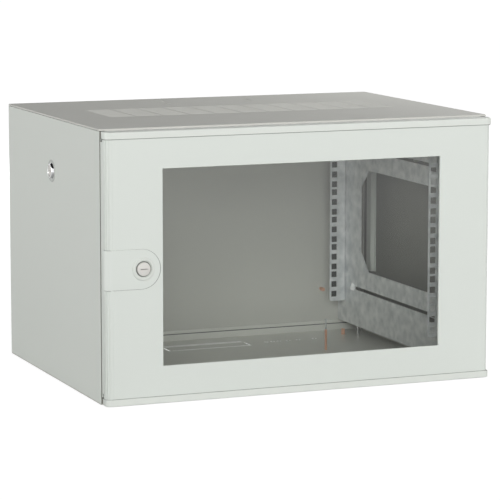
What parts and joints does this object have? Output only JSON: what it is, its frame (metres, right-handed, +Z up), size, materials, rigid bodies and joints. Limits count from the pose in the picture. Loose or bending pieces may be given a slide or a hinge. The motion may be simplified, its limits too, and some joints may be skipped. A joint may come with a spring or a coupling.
{
  "type": "wall mount network cabinet",
  "caption": "Low wall-mount 19-inch rack cabinet with a right-hinged glazed door, lockable lift-off side panels, vented roof, cable entries and sliding front rack rails.",
  "frame": {"origin": "centre of the overall width and depth, at the underside of the base", "axes": "+X to the right seen from the front, along the width; +Y from the door to the wall; +Z up"},
  "size_m": [0.6088, 0.454, 0.388],
  "materials": {
    "body_paint": "light grey powder coat, fine texture",
    "door_paint": "light grey powder coat, satin",
    "door_cap_plastic": "light grey moulding, satin",
    "galvanised_steel": "hot-dip zinc coat with spangle",
    "zinc_bracket": "bright zinc plate",
    "zinc_screws": "bright zinc plate",
    "copper_plate": "copper plate, satin",
    "safety_glass": "clear toughened glass, polished",
    "black_rubber": "matt",
    "seal_foam": "matt foam",
    "hinge_bush_plastic": "natural acetal",
    "lock_chrome": "satin chrome plate"
  },
  "bodies": {
    "cabinet": {"roof": "body_paint", "base": "body_paint", "top_entry_cover": "body_paint", "bottom_entry_cover": "body_paint", "back_panel": "body_paint", "front_post_right": "body_paint", "front_post_left": "body_paint", "side_frame_right": "galvanised_steel", "side_frame_left": "galvanised_steel", "rear_rail_right": "galvanised_steel", "rear_rail_left": "galvanised_steel", "frame_screws": "zinc_screws", "rear_rail_screws": "zinc_screws", "earth_studs": "copper_plate", "locating_pins": "zinc_screws", "hinge_bracket_top": "zinc_bracket", "hinge_bracket_bottom": "zinc_bracket", "hinge_pins": "zinc_screws"},
    "door": {"door_skin": "door_paint", "door_cap_top": "door_cap_plastic", "door_cap_bottom": "door_cap_plastic", "door_glass": "safety_glass", "glass_seal": "black_rubber", "glass_retainers": "zinc_bracket", "door_seals": "seal_foam", "door_lock_plate": "door_paint", "door_lock_housing": "lock_chrome", "door_lock_nut": "zinc_screws", "hinge_bushes": "hinge_bush_plastic"},
    "door_lock": {"door_lock_cylinder": "lock_chrome", "door_lock_cam": "zinc_bracket", "door_lock_cam_nut": "zinc_screws"},
    "right_front_rail": {"front_rail_right": "galvanised_steel", "front_rail_bolts_right": "zinc_screws"},
    "right_panel": {"side_panel_right": "body_paint", "panel_ribs_right": "body_paint", "panel_lock_housing_right": "lock_chrome", "panel_lock_nut_right": "zinc_screws"},
    "right_panel_lock": {"panel_lock_cylinder_right": "lock_chrome", "panel_lock_cam_right": "zinc_bracket", "panel_lock_cam_nut_right": "zinc_screws"},
    "left_front_rail": {"front_rail_left": "galvanised_steel", "front_rail_bolts_left": "zinc_screws"},
    "left_panel": {"side_panel_left": "body_paint", "panel_ribs_left": "body_paint", "panel_lock_housing_left": "lock_chrome", "panel_lock_nut_left": "zinc_screws"},
    "left_panel_lock": {"panel_lock_cylinder_left": "lock_chrome", "panel_lock_cam_left": "zinc_bracket", "panel_lock_cam_nut_left": "zinc_screws"}
  },
  "joints": [
    {"name": "door_hinge", "type": "hinge", "parent": "cabinet", "child": "door", "pos_m": [0.2902, -0.216, 0.19275], "axis": [0, 0, 1], "range_deg": [0, 110]},
    {"name": "door_lock_turn", "type": "hinge", "parent": "door", "child": "door_lock", "pos_m": [-0.2436, -0.21, 0.19275], "axis": [0, 1, 0], "range_deg": [0, 90]},
    {"name": "front_rail_right_slide", "type": "slide", "parent": "cabinet", "child": "right_front_rail", "axis": [0, 1, 0], "range_m": [0, 0.295]},
    {"name": "front_rail_left_slide", "type": "slide", "parent": "cabinet", "child": "left_front_rail", "axis": [0, 1, 0], "range_m": [0, 0.295]},
    {"name": "right_panel_tilt", "type": "hinge", "parent": "cabinet", "child": "right_panel", "pos_m": [0.3, 0.013, 0.0015], "axis": [0, 1, 0], "range_deg": [0, 30]},
    {"name": "left_panel_tilt", "type": "hinge", "parent": "cabinet", "child": "left_panel", "pos_m": [-0.3, 0.013, 0.0015], "axis": [0, -1, 0], "range_deg": [0, 30]},
    {"name": "right_panel_lock_turn", "type": "hinge", "parent": "right_panel", "child": "right_panel_lock", "pos_m": [0.29, 0.013, 0.3075], "axis": [1, 0, 0], "range_deg": [0, 90]},
    {"name": "left_panel_lock_turn", "type": "hinge", "parent": "left_panel", "child": "left_panel_lock", "pos_m": [-0.29, 0.013, 0.3075], "axis": [1, 0, 0], "range_deg": [0, 90]}
  ]
}
